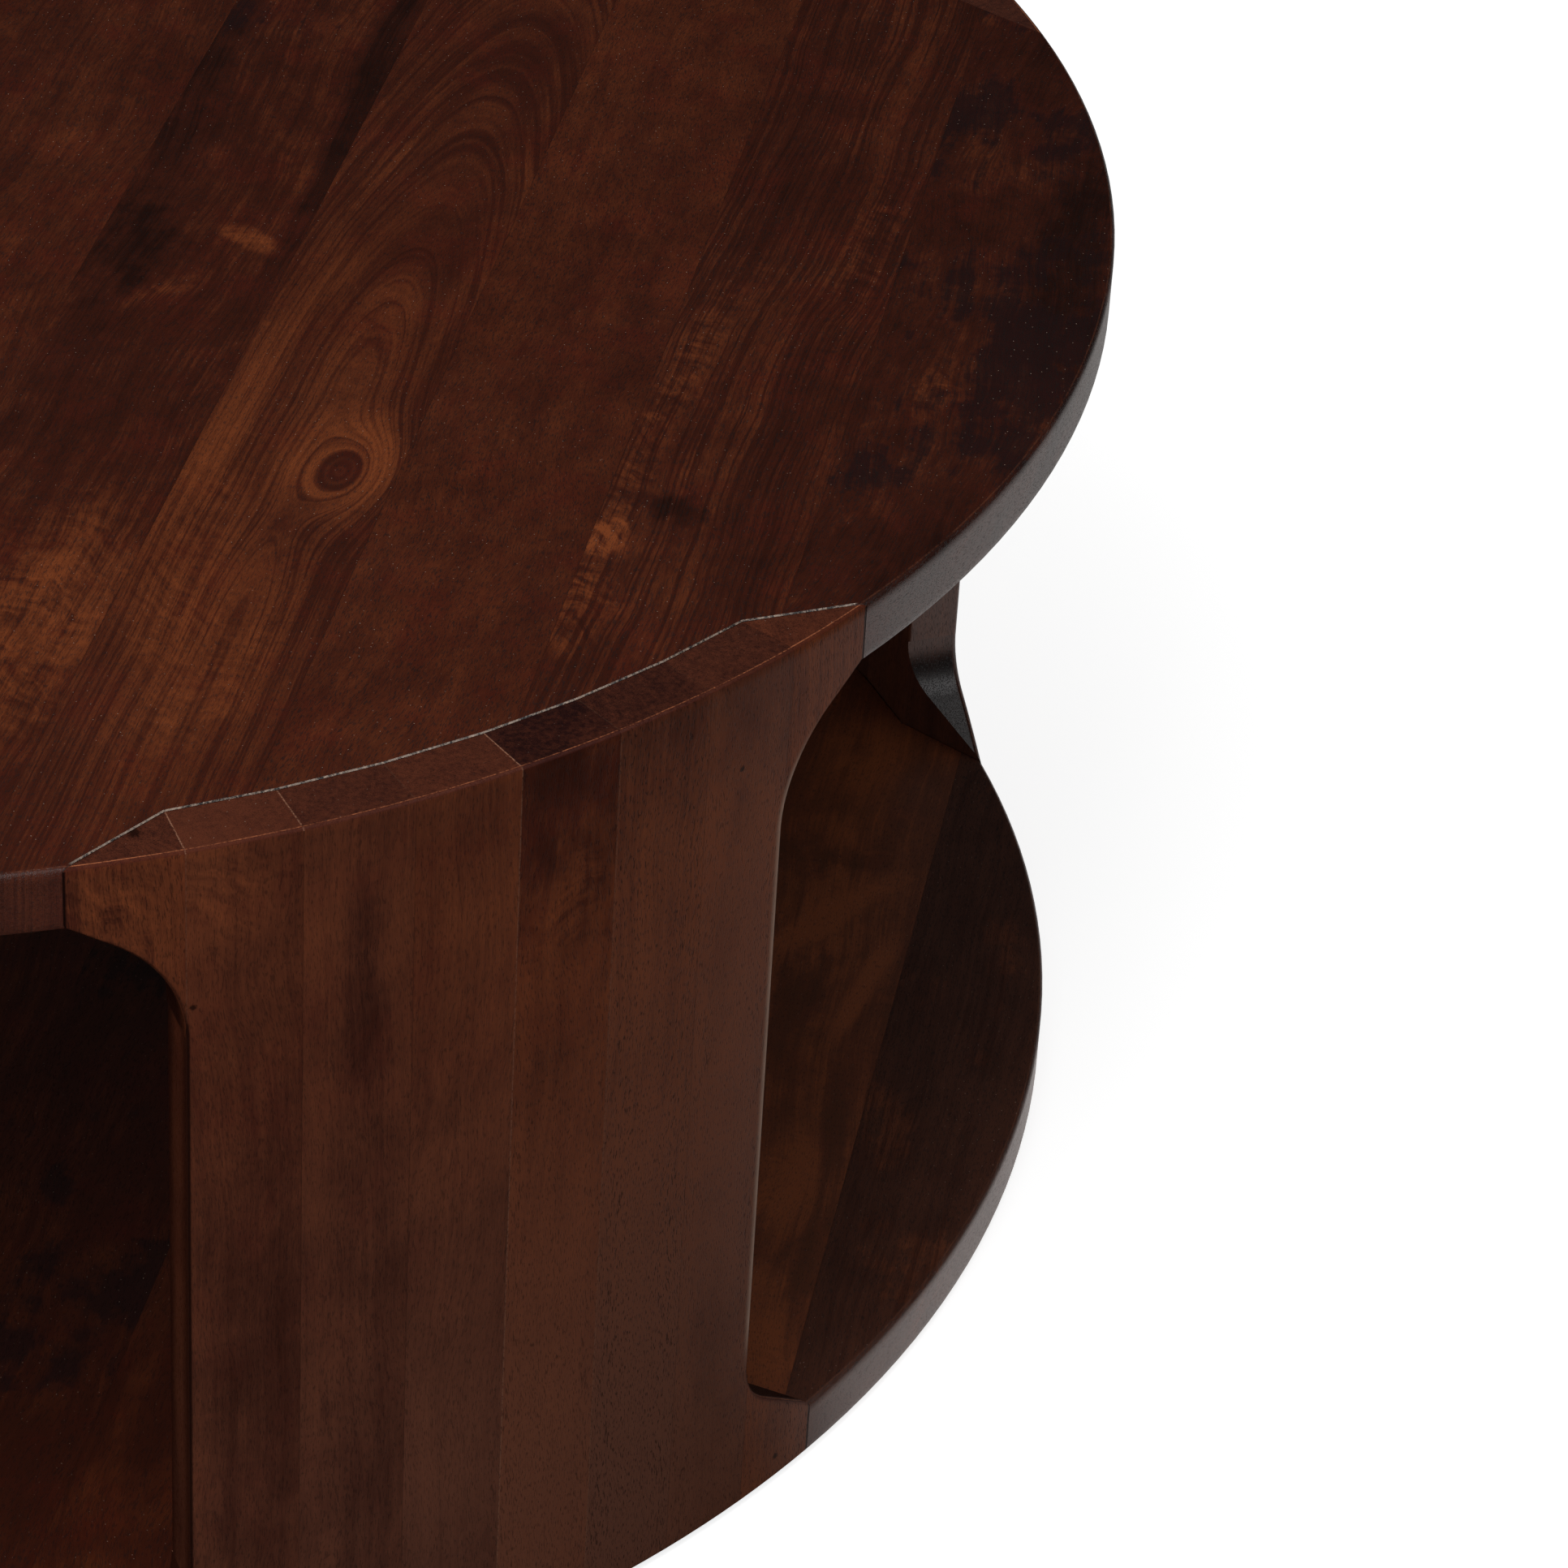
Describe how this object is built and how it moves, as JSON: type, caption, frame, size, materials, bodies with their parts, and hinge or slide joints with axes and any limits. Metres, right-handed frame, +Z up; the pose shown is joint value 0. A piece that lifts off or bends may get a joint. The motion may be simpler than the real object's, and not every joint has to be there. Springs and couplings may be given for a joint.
{
  "type": "drum coffee table",
  "caption": "Round two-tier drum coffee table: a round top and a round shelf of glued boards, joined by curved slab legs that end flush in notches in both rims.",
  "frame": {"origin": "on the floor, under the centre of the table", "axes": "+Z is up, -Y is the front; the boards of top and shelf run along Y, and the legs stand on the diagonals between X and Y"},
  "size_m": [1.0668, 1.0668, 0.4094],
  "materials": {
    "top_wood": "dark red-brown stain under a satin lacquer, straight to figured hardwood grain",
    "shelf_wood": "dark red-brown stain under a satin lacquer, with warmer streaks and curly figure",
    "leg_wood": "dark red-brown stain under a satin lacquer, upright grain",
    "dowel_wood": "plain turned hardwood",
    "glide_nylon": "matt brown nylon"
  },
  "bodies": {
    "root": {"back_left_lower_ears": "leg_wood", "back_left_stave_1": "leg_wood", "back_left_stave_2": "leg_wood", "back_left_stave_3": "leg_wood", "back_left_stave_4": "leg_wood", "back_left_stave_5": "leg_wood", "back_left_stave_6": "leg_wood", "back_left_upper_ears": "leg_wood", "back_right_lower_ears": "leg_wood", "back_right_stave_1": "leg_wood", "back_right_stave_2": "leg_wood", "back_right_stave_3": "leg_wood", "back_right_stave_4": "leg_wood", "back_right_stave_5": "leg_wood", "back_right_stave_6": "leg_wood", "back_right_upper_ears": "leg_wood", "front_left_lower_ears": "leg_wood", "front_left_stave_1": "leg_wood", "front_left_stave_2": "leg_wood", "front_left_stave_3": "leg_wood", "front_left_stave_4": "leg_wood", "front_left_stave_5": "leg_wood", "front_left_stave_6": "leg_wood", "front_left_upper_ears": "leg_wood", "front_right_lower_ears": "leg_wood", "front_right_stave_1": "leg_wood", "front_right_stave_2": "leg_wood", "front_right_stave_3": "leg_wood", "front_right_stave_4": "leg_wood", "front_right_stave_5": "leg_wood", "front_right_stave_6": "leg_wood", "front_right_upper_ears": "leg_wood", "glides": "glide_nylon", "leg_dowels": "dowel_wood", "shelf_board_01": "shelf_wood", "shelf_board_02": "shelf_wood", "shelf_board_03": "shelf_wood", "shelf_board_04": "shelf_wood", "shelf_board_05": "shelf_wood", "shelf_board_06": "shelf_wood", "shelf_board_07": "shelf_wood", "shelf_board_08": "shelf_wood", "shelf_board_09": "shelf_wood", "shelf_board_10": "shelf_wood", "shelf_board_11": "shelf_wood", "shelf_board_12": "shelf_wood", "top_board_01": "top_wood", "top_board_02": "top_wood", "top_board_03": "top_wood", "top_board_04": "top_wood", "top_board_05": "top_wood", "top_board_06": "top_wood", "top_board_07": "top_wood", "top_board_08": "top_wood", "top_board_09": "top_wood", "top_board_10": "top_wood", "top_board_11": "top_wood", "top_board_12": "top_wood", "top_board_13": "top_wood"}
  },
  "joints": []
}
